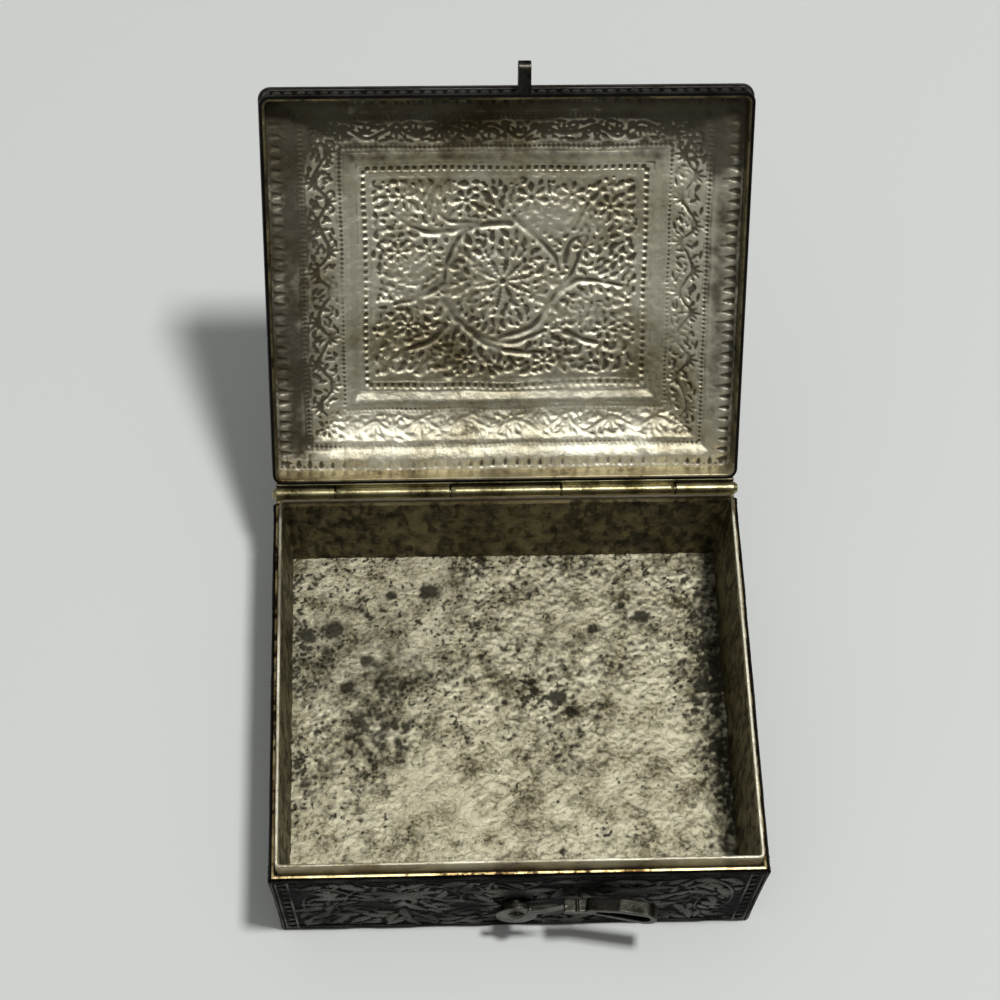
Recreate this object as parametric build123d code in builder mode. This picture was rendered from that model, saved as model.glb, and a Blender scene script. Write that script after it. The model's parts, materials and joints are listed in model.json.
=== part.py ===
import os
from math import cos, radians, sin, tan

from build123d import *

# A silver trinket box with a stepped hinged lid and a swinging hasp.
# Millimetres. X runs left to right, Y front to back, Z up from the table,
# with the origin on the table under the middle of the box.
# The lid is made shut and then turned back to its open rest.

# Box
box_width = 95.0  # across the ledge that the lid shuts on
box_depth = 82.0  # outer face of the front wall to outer face of the back wall
wall_height = 25.6  # table to ledge
side_lean = 1.6  # how far in the foot of each side wall stands
wall_sheet = 1.3  # also the width of the ledge
floor_height = 5.0  # table to the upper face of the base plate
base_sheet = 1.0
liner_sheet = 0.6
liner_corner = 1.0  # outer radius of the liner's corners
bezel_rise = 3.8  # liner above the ledge

# Lid, shut
shut_gap = 0.06  # between the ledge and the lid's lower edge
lid_play = 0.3  # between the liner and the lid's inner band
bezel_gap = 0.5  # between the liner's upper edge and the lid's shoulder
lid_corner = 2.0
skirt_sheet = 0.55
skirt_flare = 0.3  # how far out the skirt's upper edge curls
flare_height = 1.1  # height of the flaring part of the skirt
rim_overhang = 0.4  # how far the rim stands out over the straight skirt
rim_height = 0.9
rim_bevel = 0.5  # across the rim's sloping upper edge
bevel_drop = 0.2
lid_sheet = 0.6
step_corner = 0.8  # corner radius of the steps above the rim
section_shift = 0.2  # how much further in the inner face of each step lies

# Steps of the lid's top, from the rim in to the panel: height above the
# shoulder, inset at the sides, inset at the front and back
cove_foot = (0.9, 4.2, 3.1)
bead_foot = (1.9, 6.6, 5.1)
scroll_foot = (2.3, 8.2, 6.6)
scroll_top = (4.5, 14.0, 12.1)
bevel_foot = (4.6, 16.0, 14.2)
bevel_top = (5.2, 18.0, 16.6)
panel_edge = (5.6, 20.6, 19.0)
lid_steps = [cove_foot, bead_foot, scroll_foot, scroll_top, bevel_foot, bevel_top, panel_edge]

# Hinge
hinge_setback = 2.1  # axis behind the back face
knuckle_radius = 1.3
pin_radius = 0.6
pin_play = 0.05  # round the pin in the lid's knuckles
pin_head_radius = 1.0
pin_head_length = 0.5
hinge_end_inset = 0.2  # end of the knuckles from the side of the box
centre_knuckle_length = 22.4
lid_knuckle_length = 23.2
knuckle_gap = 0.3
bearer_end_inset = 0.3  # end of the bearers from the end of the knuckles
bearer_height = 3.2  # on the wall or the skirt
bearer_lip = 0.85  # thickness of the coved lip round the knuckles
cove_play = 0.12  # round a knuckle that turns in the other part's bearer
open_angle = 124.0  # from shut to the open rest
stop_gap = 2.0  # degrees between the two lips at the open rest

# Staple on the lid
staple_centre = 3.2  # X
staple_width = 2.5
staple_strip = 0.6
staple_height = 2.8
staple_rise = 1.7  # middle of the staple above the ledge
staple_reach = 6.2  # out from the skirt

# Hasp, lying level at rest, and the rivet that it turns on
pivot_x = -0.4
pivot_height = 11.8
hasp_eye_radius = 4.0
hasp_sheet = 1.2
hasp_play = 0.05  # round the rivet
hasp_float = 0.02  # between the hasp and the collar, and under the rivet's head
collar_radius = 1.9
collar_length = 1.38
rivet_radius = 0.85
rivet_head_radius = 1.7
rivet_head_height = 0.88
peen_radius = 1.5
peen_height = 0.4
strip_width = 2.7
strip_out = 2.25  # middle of the strip, out from the front wall
strip_foot_rise = 1.6  # middle of the strip above the pivot where it leaves the eye
strip_rise = 3.5  # the same where it lies level
twist_start = 2.0  # from the pivot along the hasp
twist_length = 7.0
twist_steps = 3
ridge_place = 11.6  # raised mark across the neck
ridge_width = 0.4
ridge_height = 0.25
neck_end = 14.0
loop_lead = 9.7  # degrees that the loop turns away from the wall

# Bends of the hasp's loop: along from the pivot, rise above it, outer radius
loop_root = (14.4, 3.7, 1.1)
loop_crown = (20.0, 4.55, 1.85)
loop_end = (24.6, 3.9, 2.5)
loop_hole_root = (15.8, 3.85, 0.4)  # its radius is the hole's own

# Places and sizes that follow
front_y = -box_depth / 2
back_y = box_depth / 2
inner_depth = box_depth - 2 * wall_sheet
shoulder = bezel_rise + bezel_gap
inner_band_sheet = wall_sheet - skirt_sheet - lid_play
hinge_y = back_y + hinge_setback
hinge_half = box_width / 2 - hinge_end_inset
bearer_half = hinge_half - bearer_end_inset
centre_half = centre_knuckle_length / 2
lid_knuckle_start = centre_half + knuckle_gap
lid_knuckle_end = lid_knuckle_start + lid_knuckle_length
end_knuckle_start = lid_knuckle_end + knuckle_gap
hinge_axis = Axis((0, hinge_y, wall_height), (1, 0, 0))
front_plane = Plane.XZ.offset(-front_y)
hasp_seat = collar_length + hasp_float
strip_y = front_y - strip_out
strip_foot_height = pivot_height + strip_foot_rise
strip_height = pivot_height + strip_rise


# Half of the outer width at a height: the sides lean out up to the ledge
def half_width(height):
    return box_width / 2 - side_lean * (1 - min(height, wall_height) / wall_height)


# Mitred section of the front wall, toward -1, or the back wall, toward 1
def end_wall_section(height, toward):
    outer_x = half_width(height)
    inner_x = outer_x - wall_sheet
    outer_y = toward * box_depth / 2
    inner_y = toward * inner_depth / 2
    with BuildSketch(Plane.XY.offset(height)) as section:
        with BuildLine():
            Polyline(
                (-outer_x, outer_y),
                (outer_x, outer_y),
                (inner_x, inner_y),
                (-inner_x, inner_y),
                close=True,
            )
        make_face()
    return section.sketch


# Mitred section of the left wall, toward -1, or the right wall, toward 1
def side_wall_section(height, toward):
    outer_x = toward * half_width(height)
    inner_x = toward * (half_width(height) - wall_sheet)
    outer_y = box_depth / 2
    inner_y = inner_depth / 2
    with BuildSketch(Plane.XY.offset(height)) as section:
        with BuildLine():
            Polyline(
                (outer_x, -outer_y),
                (outer_x, outer_y),
                (inner_x, inner_y),
                (inner_x, -inner_y),
                close=True,
            )
        make_face()
    return section.sketch


# Outline inside the walls at a height, drawn in by an inset
def inside_outline(height, inset, corner):
    width = 2 * (half_width(height) - wall_sheet - inset)
    with BuildSketch(Plane.XY.offset(height)) as outline:
        RectangleRounded(width, inner_depth - 2 * inset, corner)
    return outline.sketch


# Outline of the shut lid at a height above the ledge
def lid_outline(rise, side_inset, end_inset, corner):
    with BuildSketch(Plane.XY.offset(wall_height + rise)) as outline:
        RectangleRounded(box_width - 2 * side_inset, box_depth - 2 * end_inset, corner)
    return outline.sketch


# Stretch of hinge tube with its bore
def knuckle(start, end, bore_radius):
    with BuildPart() as tube:
        with BuildSketch(Plane.YZ.offset(start)):
            with Locations((hinge_y, wall_height)):
                Circle(knuckle_radius)
                Circle(bore_radius, mode=Mode.SUBTRACT)
        extrude(amount=end - start)
    return tube.part


# Coved strip that carries knuckles: the box's hangs below the ledge, side -1,
# and the lid's stands above it, side 1. Its lip ends where the two lips meet
# when the lid is open. The free spans clear the other part's knuckles.
def bearer(side, free_spans):
    lip_radius = knuckle_radius + bearer_lip
    lip_angle = radians((180 - open_angle - stop_gap) / 2)
    wall_foot = (back_y, wall_height + side * shut_gap)
    wall_end = (back_y, wall_height + side * bearer_height)
    lip_back = (hinge_y, wall_height + side * lip_radius)
    lip_end = (hinge_y + lip_radius * sin(lip_angle), wall_height + side * lip_radius * cos(lip_angle))
    lip_foot = (hinge_y + shut_gap * tan(lip_angle), wall_height + side * shut_gap)
    with BuildPart() as strip:
        with BuildSketch(Plane.YZ.offset(-bearer_half)):
            with BuildLine():
                Polyline(wall_foot, wall_end, lip_back, lip_end, lip_foot, close=True)
            make_face()
        extrude(amount=2 * bearer_half)
        with BuildSketch(Plane.YZ.offset(-bearer_half)):
            with Locations((hinge_y, wall_height)):
                Circle(knuckle_radius)
        extrude(amount=2 * bearer_half, mode=Mode.SUBTRACT)
        for start, end in free_spans:
            with BuildSketch(Plane.YZ.offset(start)):
                with Locations((hinge_y, wall_height)):
                    Circle(knuckle_radius + cove_play)
            extrude(amount=end - start, mode=Mode.SUBTRACT)
    return strip.part


# Turns a piece of the shut lid back to the open rest
def opened(piece):
    return piece.rotate(hinge_axis, -open_angle)


def save(piece, name):
    piece.label = name
    export_step(piece, f"parts/{name}.step")


os.makedirs("parts", exist_ok=True)

# Walls, with the rivet's hole in the front one
with BuildPart() as front_wall:
    loft([end_wall_section(0, -1), end_wall_section(wall_height, -1)], ruled=True)
    with BuildSketch(front_plane):
        with Locations((pivot_x, pivot_height)):
            Circle(rivet_radius)
    extrude(amount=-wall_sheet, mode=Mode.SUBTRACT)
save(front_wall.part, "front_wall")

with BuildPart() as back_wall:
    loft([end_wall_section(0, 1), end_wall_section(wall_height, 1)], ruled=True)
save(back_wall.part, "back_wall")

for name, toward in (("left_wall", -1), ("right_wall", 1)):
    with BuildPart() as side_wall:
        loft([side_wall_section(0, toward), side_wall_section(wall_height, toward)], ruled=True)
    save(side_wall.part, name)

# Base plate, let in above the foot of the walls
with BuildPart() as base_plate:
    for height in (floor_height - base_sheet, floor_height):
        with BuildSketch(Plane.XY.offset(height)):
            Rectangle(2 * (half_width(height) - wall_sheet), inner_depth)
    loft(ruled=True)
save(base_plate.part, "base_plate")

# Liner, leaning with the sides up to the ledge and upright above it
with BuildPart() as liner:
    inner_corner = liner_corner - liner_sheet
    loft([inside_outline(h, 0, liner_corner) for h in (floor_height, wall_height)], ruled=True)
    extrude(inside_outline(wall_height, 0, liner_corner), amount=bezel_rise)
    loft(
        [inside_outline(h, liner_sheet, inner_corner) for h in (floor_height, wall_height)],
        ruled=True,
        mode=Mode.SUBTRACT,
    )
    extrude(
        inside_outline(wall_height, liner_sheet, inner_corner),
        amount=bezel_rise,
        mode=Mode.SUBTRACT,
    )
    with BuildSketch(front_plane.offset(-wall_sheet)):
        with Locations((pivot_x, pivot_height)):
            Circle(rivet_radius)
    extrude(amount=-liner_sheet, mode=Mode.SUBTRACT)
save(liner.part, "liner")

# Hinge: five knuckles on one pin
box_free_spans = [(-end_knuckle_start, -centre_half), (centre_half, end_knuckle_start)]
lid_free_spans = [
    (-bearer_half, -lid_knuckle_end),
    (-lid_knuckle_start, lid_knuckle_start),
    (lid_knuckle_end, bearer_half),
]
save(bearer(-1, box_free_spans), "box_hinge_bearer")
save(knuckle(-hinge_half, -end_knuckle_start, pin_radius), "left_box_knuckle")
save(knuckle(-centre_half, centre_half, pin_radius), "centre_box_knuckle")
save(knuckle(end_knuckle_start, hinge_half, pin_radius), "right_box_knuckle")

with BuildPart() as hinge_pin:
    with BuildSketch(Plane.YZ.offset(-hinge_half)):
        with Locations((hinge_y, wall_height)):
            Circle(pin_radius)
    extrude(amount=2 * hinge_half)
    for head_start in (-hinge_half - pin_head_length, hinge_half):
        with BuildSketch(Plane.YZ.offset(head_start)):
            with Locations((hinge_y, wall_height)):
                Circle(pin_head_radius)
        extrude(amount=pin_head_length)
    outer_ends = hinge_pin.faces().filter_by(Axis.X).sort_by(Axis.X)
    fillet([outer_ends[0].edge(), outer_ends[-1].edge()], radius=pin_head_length / 2)
save(hinge_pin.part, "hinge_pin")

bearer_on_lid = bearer(1, lid_free_spans)
save(opened(bearer_on_lid), "lid_hinge_bearer")
bore_radius = pin_radius + pin_play
save(opened(knuckle(-lid_knuckle_end, -lid_knuckle_start, bore_radius)), "left_lid_knuckle")
save(opened(knuckle(lid_knuckle_start, lid_knuckle_end, bore_radius)), "right_lid_knuckle")

# Lid top: rim and steps, hollow underneath
with BuildPart() as lid_top:
    rim_edge = -rim_overhang + rim_bevel
    bevel_rise = shoulder + rim_height - bevel_drop
    rim_corner = lid_corner + rim_overhang
    rim_foot = lid_outline(shoulder, -rim_overhang, -rim_overhang, rim_corner)
    rim_side = lid_outline(bevel_rise, -rim_overhang, -rim_overhang, rim_corner)
    rim_top = lid_outline(shoulder + rim_height, rim_edge, rim_edge, rim_corner - rim_bevel)
    loft([rim_foot, rim_side], ruled=True)
    loft([rim_side, rim_top], ruled=True)
    for lower, upper in zip(lid_steps, lid_steps[1:]):
        outer_levels = [
            lid_outline(shoulder + rise, sides, ends, step_corner)
            for rise, sides, ends in (lower, upper)
        ]
        loft(outer_levels, ruled=True)
    hollow_inset = skirt_sheet + inner_band_sheet
    hollow_depth = rim_height - lid_sheet
    inner_rise = shoulder - lid_sheet
    extrude(
        lid_outline(shoulder, hollow_inset, hollow_inset, lid_corner - hollow_inset),
        amount=hollow_depth,
        mode=Mode.SUBTRACT,
    )
    for lower, upper in zip(lid_steps, lid_steps[1:]):
        inner_levels = [
            lid_outline(rise + inner_rise, sides + section_shift, ends + section_shift, step_corner)
            for rise, sides, ends in (lower, upper)
        ]
        loft(inner_levels, ruled=True, mode=Mode.SUBTRACT)
save(opened(lid_top.part), "lid_top")

# Lid skirt, upright and then curling out under the rim
with BuildPart() as lid_skirt:
    flare_start = shoulder - flare_height
    flare_corner = lid_corner + skirt_flare
    flare_foot = lid_outline(flare_start, 0, 0, lid_corner)
    loft([lid_outline(shut_gap, 0, 0, lid_corner), flare_foot], ruled=True)
    loft([flare_foot, lid_outline(shoulder, -skirt_flare, -skirt_flare, flare_corner)], ruled=True)
    extrude(
        lid_outline(shut_gap, skirt_sheet, skirt_sheet, lid_corner - skirt_sheet),
        amount=shoulder - shut_gap,
        mode=Mode.SUBTRACT,
    )
save(opened(lid_skirt.part), "lid_skirt")

# Plain band inside the skirt
with BuildPart() as lid_inner_band:
    band_inset = skirt_sheet + inner_band_sheet
    band_height = shoulder - shut_gap
    extrude(lid_outline(shut_gap, skirt_sheet, skirt_sheet, lid_corner - skirt_sheet), amount=band_height)
    extrude(
        lid_outline(shut_gap, band_inset, band_inset, lid_corner - band_inset),
        amount=band_height,
        mode=Mode.SUBTRACT,
    )
save(opened(lid_inner_band.part), "lid_inner_band")

# Staple: strip bent into an eye that looks sideways
with BuildPart() as lid_staple:
    bend_radius = staple_height / 2
    leg_length = staple_reach - bend_radius
    eye_height = wall_height + staple_rise
    with BuildSketch(Plane.YZ.offset(staple_centre - staple_width / 2)):
        with Locations((front_y - leg_length / 2, eye_height)):
            Rectangle(leg_length, staple_height)
        with Locations((front_y - leg_length, eye_height)):
            Circle(bend_radius)
        with Locations((front_y, eye_height)):
            Rectangle(2 * bend_radius, staple_height, align=(Align.MIN, Align.CENTER), mode=Mode.SUBTRACT)
        with Locations((front_y - leg_length / 2, eye_height)):
            Rectangle(leg_length, staple_height - 2 * staple_strip, mode=Mode.SUBTRACT)
        with Locations((front_y - leg_length, eye_height)):
            Circle(bend_radius - staple_strip, mode=Mode.SUBTRACT)
    extrude(amount=staple_width)
save(opened(lid_staple.part), "lid_staple")

# Collar that keeps the hasp off the chasing
with BuildPart() as latch_collar:
    with BuildSketch(front_plane):
        with Locations((pivot_x, pivot_height)):
            Circle(collar_radius)
            Circle(rivet_radius, mode=Mode.SUBTRACT)
    extrude(amount=collar_length)
save(latch_collar.part, "latch_collar")

# Rivet through the hasp, collar, wall and liner, turned from half its section
with BuildPart() as latch_rivet:
    peen_seat = -(wall_sheet + liner_sheet)
    peen_back = peen_seat - peen_height
    head_seat = hasp_seat + hasp_sheet + hasp_float
    head_top = head_seat + rivet_head_height
    rivet_centre = (pivot_x, front_y, pivot_height)
    with BuildSketch(Plane(rivet_centre, x_dir=(0, -1, 0), z_dir=(1, 0, 0))):
        with BuildLine():
            Polyline(
                (head_top, 0),
                (peen_back, 0),
                (peen_back, peen_radius),
                (peen_seat, peen_radius),
                (peen_seat, rivet_radius),
                (head_seat, rivet_radius),
                (head_seat, rivet_head_radius),
            )
            TangentArc((head_top, 0), (head_seat, rivet_head_radius), tangent=(0, 1))
        make_face()
    revolve(axis=Axis(rivet_centre, (0, -1, 0)))
save(latch_rivet.part, "latch_rivet")

# Hasp: eye flat to the wall, quarter twist to a level neck with a raised mark,
# then the strip bent back over itself into a long upright finger loop
with BuildPart() as hasp:
    with BuildSketch(front_plane.offset(hasp_seat)):
        with Locations((pivot_x, pivot_height)):
            Circle(hasp_eye_radius)
    extrude(amount=hasp_sheet)
    for step in range(twist_steps + 1):
        turned = step / twist_steps
        section_x = pivot_x + twist_start + twist_length * turned
        section_height = strip_foot_height + (strip_height - strip_foot_height) * turned
        section_plane = Plane((section_x, strip_y, section_height), x_dir=(0, 0, 1), z_dir=(1, 0, 0))
        with BuildSketch(section_plane.rotated((0, 0, 90 * turned))):
            Rectangle(strip_width, hasp_sheet)
    loft()
    twist_end = twist_start + twist_length
    with BuildSketch(Plane.XY.offset(strip_height - hasp_sheet / 2)):
        with Locations((pivot_x + (twist_end + neck_end) / 2, strip_y)):
            Rectangle(neck_end - twist_end, strip_width)
    extrude(amount=hasp_sheet)
    with BuildSketch(Plane.XY.offset(strip_height + hasp_sheet / 2)):
        with Locations((pivot_x + ridge_place, strip_y)):
            Rectangle(ridge_width, strip_width)
    extrude(amount=ridge_height)
    lead_x = cos(radians(loop_lead))
    lead_y = -sin(radians(loop_lead))
    loop_origin = (pivot_x + neck_end, strip_y, pivot_height)
    loop_plane = Plane(loop_origin, x_dir=(lead_x, lead_y, 0), z_dir=(lead_y, -lead_x, 0))
    with BuildSketch(loop_plane):
        for along, rise, radius in (loop_root, loop_crown, loop_end):
            with Locations((along - neck_end, rise)):
                Circle(radius)
        make_hull()
    extrude(amount=strip_width / 2, both=True)
    with BuildSketch(loop_plane):
        with Locations((loop_hole_root[0] - neck_end, loop_hole_root[1])):
            Circle(loop_hole_root[2])
        for along, rise, radius in (loop_crown, loop_end):
            with Locations((along - neck_end, rise)):
                Circle(radius - hasp_sheet)
        make_hull()
    extrude(amount=strip_width / 2, both=True, mode=Mode.SUBTRACT)
    with BuildSketch(front_plane.offset(hasp_seat)):
        with Locations((pivot_x, pivot_height)):
            Circle(rivet_radius + hasp_play)
    extrude(amount=2 * hasp_sheet, mode=Mode.SUBTRACT)
save(hasp.part, "hasp")
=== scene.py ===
import json
from copy import copy
from math import atan2, cos, hypot, pi, radians, sin

import bmesh
import bpy
import numpy as np
from mathutils import Matrix, Vector


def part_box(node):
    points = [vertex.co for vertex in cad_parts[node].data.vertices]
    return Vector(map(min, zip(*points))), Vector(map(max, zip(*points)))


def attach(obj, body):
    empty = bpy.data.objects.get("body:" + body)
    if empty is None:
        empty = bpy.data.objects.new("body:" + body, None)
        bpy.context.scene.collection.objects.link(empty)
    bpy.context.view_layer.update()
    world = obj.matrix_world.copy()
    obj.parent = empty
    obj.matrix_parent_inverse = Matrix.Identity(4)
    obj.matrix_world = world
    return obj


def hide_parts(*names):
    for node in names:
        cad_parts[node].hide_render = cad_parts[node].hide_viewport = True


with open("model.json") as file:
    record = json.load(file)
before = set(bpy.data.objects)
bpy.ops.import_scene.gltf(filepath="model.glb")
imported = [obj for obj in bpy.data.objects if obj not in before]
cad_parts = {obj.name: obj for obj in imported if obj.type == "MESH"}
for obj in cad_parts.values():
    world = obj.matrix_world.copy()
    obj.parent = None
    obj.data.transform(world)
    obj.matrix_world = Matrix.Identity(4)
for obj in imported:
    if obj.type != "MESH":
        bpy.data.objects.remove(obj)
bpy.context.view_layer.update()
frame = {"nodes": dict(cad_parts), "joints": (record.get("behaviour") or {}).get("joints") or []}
print("frame loaded")

# Sizes in this script are millimetres and become metres when a piece is placed
mm = 0.001
nodes = frame["nodes"]
joints = {joint["name"]: joint for joint in frame["joints"]}


def nodeBox(name):
    low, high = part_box(name)
    return low / mm, high / mm


frontLow, frontHigh = nodeBox("front_wall")
backHigh = nodeBox("back_wall")[1]
footHalf = max(v.co.x for v in nodes["front_wall"].data.vertices if v.co.z < mm) / mm
boxForm = {
    "halfTop": frontHigh.x,
    "halfFoot": footHalf,
    "halfDepth": backHigh.y,
    "ledge": frontHigh.z,
    "wallSheet": frontHigh.y - frontLow.y,
    "linerSheet": 0.6,
    "bezelTop": nodeBox("liner")[1].z,
    "floor": nodeBox("base_plate")[1].z,
    "baseSheet": nodeBox("base_plate")[1].z - nodeBox("base_plate")[0].z,
}
hinge = Vector(joints["lid_hinge"]["pos_m"]) / mm
openAngle = radians(joints["lid_hinge"]["range_deg"][1])
# The lid is worked shut and then turned back to its open rest
openTurn = (
    Matrix.Translation(hinge) @ Matrix.Rotation(-openAngle, 4, "X") @ Matrix.Translation(-hinge)
)


# Colours and materials

def linear(hexColour):
    channels = [int(hexColour[i:i + 2], 16) / 255 for i in (1, 3, 5)]
    return [c / 12.92 if c <= 0.04045 else ((c + 0.055) / 1.055) ** 2.4 for c in channels] + [1.0]


def addNode(tree, kind, inputs=None, stops=None, **settings):
    node = tree.nodes.new(kind)
    for name, value in settings.items():
        setattr(node, name, value)
    for place, colour in stops or ():
        index = [s[0] for s in stops].index(place)
        elements = node.color_ramp.elements
        element = elements[index] if index < 2 else elements.new(place)
        element.position = place
        element.color = linear(colour) if isinstance(colour, str) else [colour] * 3 + [1.0]
    for socket, value in (inputs or {}).items():
        if isinstance(value, bpy.types.NodeSocket):
            tree.links.new(value, node.inputs[socket])
        else:
            node.inputs[socket].default_value = value
    return node


# Worn and tarnished metal: metallic below 1 is the dull film over it. A clean tone, a tarnish that
# gathers in clouds, dark specks, and a dark colour laid where the "relief" attribute says: grime or
# oxide on some pieces, painted shade on others
# Clouds and specks have the sizes seen on old silver, in mm. The grain stands for hammer and file
# marks of about 0.1 mm, drawn at 0.3 to 0.5 mm because finer ones don't show in the render
def agedMetal(name, spec):
    material = bpy.data.materials.new(name)
    material.use_nodes = True
    tree = material.node_tree
    shader = tree.nodes["Principled BSDF"]
    place = addNode(tree, "ShaderNodeTexCoord").outputs["Object"]
    clouds = addNode(tree, "ShaderNodeTexNoise", {
        "Vector": place, "Scale": 1 / (spec["cloudSize"] * mm), "Detail": 4.0, "Roughness": 0.6})
    cloudMask = addNode(tree, "ShaderNodeValToRGB", {"Fac": clouds.outputs[0]},
                        stops=((spec["cloudFrom"], 0.0), (spec["cloudTo"], 1.0)))
    tone = addNode(tree, "ShaderNodeMix", {
        0: cloudMask.outputs[0], 6: linear(spec["clean"]), 7: linear(spec["tarnish"])},
        data_type="RGBA")
    specks = addNode(tree, "ShaderNodeTexNoise", {
        "Vector": place, "Scale": 1 / (spec["speckSize"] * mm), "Detail": 5.0, "Roughness": 0.68})
    gather = addNode(tree, "ShaderNodeMath", {
        0: specks.outputs[0], 1: clouds.outputs[0]}, operation="ADD")
    speckMask = addNode(tree, "ShaderNodeMapRange", {
        0: gather.outputs[0], 1: spec["speckFrom"], 2: spec["speckTo"], 3: 0.0, 4: spec["speckAmount"]})
    speckled = addNode(tree, "ShaderNodeMix", {
        0: speckMask.outputs[0], 6: tone.outputs[2], 7: linear(spec["speck"])}, data_type="RGBA")
    relief = addNode(tree, "ShaderNodeAttribute", attribute_name="relief")
    # This dark colour is grime or oxide, and painted shade where a piece's relief attribute carries shade
    grimeAndShadeMask = addNode(tree, "ShaderNodeMapRange", {
        0: relief.outputs["Fac"], 1: spec["grimeFrom"], 2: spec["grimeTo"], 3: 0.0, 4: spec["grimeAmount"]})
    grimeAndShadeMask.interpolation_type = "SMOOTHSTEP"
    colour = addNode(tree, "ShaderNodeMix", {
        0: grimeAndShadeMask.outputs[0], 6: speckled.outputs[2], 7: linear(spec["grimeAndShade"])}, data_type="RGBA")
    tree.links.new(colour.outputs[2], shader.inputs["Base Color"])
    shader.inputs["Metallic"].default_value = spec["metallic"]
    grain = addNode(tree, "ShaderNodeTexNoise", {
        "Vector": place, "Scale": 1 / (spec["grainSize"] * mm), "Detail": 3.0, "Roughness": 0.7})
    polish = addNode(tree, "ShaderNodeMapRange", {
        0: grain.outputs[0], 1: 0.3, 2: 0.7, 3: spec["roughLow"], 4: spec["roughHigh"]})
    dull = addNode(tree, "ShaderNodeMath", {0: grimeAndShadeMask.outputs[0], 1: 0.3}, operation="MULTIPLY")
    rough = addNode(tree, "ShaderNodeMath", {0: polish.outputs[0], 1: dull.outputs[0]}, operation="ADD")
    tree.links.new(rough.outputs[0], shader.inputs["Roughness"])
    bump = addNode(tree, "ShaderNodeBump", {
        "Height": grain.outputs[0], "Strength": spec["bump"], "Distance": spec["bumpDepth"] * mm})
    pits = addNode(tree, "ShaderNodeBump", {
        "Height": specks.outputs[0], "Strength": 1.0, "Distance": spec["pitDepth"] * mm,
        "Normal": bump.outputs[0]}, invert=True)
    tree.links.new(pits.outputs[0], shader.inputs["Normal"])
    return material


# Silver from the inside of the lid: satin, a little yellow, grime in the pits, and its dark colour also used
# as painted shade
satinTarnishedSilver = agedMetal("satinTarnishedSilver", {
    "clean": "#e6e1ca", "tarnish": "#978b66", "cloudSize": 20, "cloudFrom": 0.42, "cloudTo": 0.72,
    "speck": "#3f2f16", "speckSize": 0.9, "speckFrom": 1.06, "speckTo": 1.34, "speckAmount": 0.6,
    "grimeAndShade": "#33280f", "grimeFrom": 0.5, "grimeTo": 1.0, "grimeAmount": 0.85, "metallic": 0.76,
    "pitDepth": 0.05, "grainSize": 0.4, "roughLow": 0.34, "roughHigh": 0.5, "bump": 0.9, "bumpDepth": 0.12})
# Silver chased from the outside and blackened: dark ground, rubbed leaves
oxidisedChasedSilver = agedMetal("oxidisedChasedSilver", {
    "clean": "#67655f", "tarnish": "#47433a", "cloudSize": 10, "cloudFrom": 0.4, "cloudTo": 0.65,
    "speck": "#1b1915", "speckSize": 0.8, "speckFrom": 1.02, "speckTo": 1.25, "speckAmount": 0.6,
    "grimeAndShade": "#060505", "grimeFrom": 0.8, "grimeTo": 0.12, "grimeAmount": 1.0, "metallic": 0.9,
    "pitDepth": 0.05, "grainSize": 0.3, "roughLow": 0.36, "roughHigh": 0.52, "bump": 0.3, "bumpDepth": 0.05})
# Hammered floor: mottled by tarnish, pitted all over, dark stains
pittedMottledSilver = agedMetal("pittedMottledSilver", {
    "clean": "#d0caae", "tarnish": "#857c5d", "cloudSize": 6, "cloudFrom": 0.36, "cloudTo": 0.76,
    "speck": "#2b2616", "speckSize": 0.75, "speckFrom": 1.0, "speckTo": 1.28, "speckAmount": 0.75,
    "grimeAndShade": "#1d190e", "grimeFrom": 0.34, "grimeTo": 1.0, "grimeAmount": 0.88, "metallic": 0.85,
    "pitDepth": 0.2, "grainSize": 0.4, "roughLow": 0.3, "roughHigh": 0.48, "bump": 1.0, "bumpDepth": 0.14})
# Inner faces of the liner: never polished, dark olive
dullOliveSilver = agedMetal("dullOliveSilver", {
    "clean": "#7d7350", "tarnish": "#463c22", "cloudSize": 4, "cloudFrom": 0.36, "cloudTo": 0.66,
    "speck": "#15100a", "speckSize": 0.9, "speckFrom": 0.98, "speckTo": 1.26, "speckAmount": 0.7,
    "grimeAndShade": "#1a140a", "grimeFrom": 0.45, "grimeTo": 0.95, "grimeAmount": 0.6, "metallic": 0.7,
    "pitDepth": 0.2, "grainSize": 0.4, "roughLow": 0.36, "roughHigh": 0.55, "bump": 1.0, "bumpDepth": 0.16})
# Bezel and bands: worn to a warm beige, dark in patches
rubbedBeigeSilver = agedMetal("rubbedBeigeSilver", {
    "clean": "#b5ab8c", "tarnish": "#7a6840", "cloudSize": 12, "cloudFrom": 0.4, "cloudTo": 0.68,
    "speck": "#33200d", "speckSize": 1.8, "speckFrom": 1.06, "speckTo": 1.28, "speckAmount": 0.75,
    "grimeAndShade": "#241b10", "grimeFrom": 0.5, "grimeTo": 1.0, "grimeAmount": 0.6, "metallic": 0.75,
    "pitDepth": 0.06, "grainSize": 0.5, "roughLow": 0.28, "roughHigh": 0.44, "bump": 0.3, "bumpDepth": 0.06})
# Ledge that the shut lid rubs bright: gold in tone, dark where the bezel keeps the lid off it
lidRubbedSilver = agedMetal("lidRubbedSilver", {
    "clean": "#e6d198", "tarnish": "#7d6030", "cloudSize": 7, "cloudFrom": 0.38, "cloudTo": 0.62,
    "speck": "#241509", "speckSize": 2.0, "speckFrom": 1.0, "speckTo": 1.12, "speckAmount": 0.95,
    "grimeAndShade": "#120b05", "grimeFrom": 0.42, "grimeTo": 0.66, "grimeAmount": 0.95, "metallic": 0.9,
    "pitDepth": 0.1, "grainSize": 0.5, "roughLow": 0.28, "roughHigh": 0.42, "bump": 0.8, "bumpDepth": 0.14})
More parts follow.
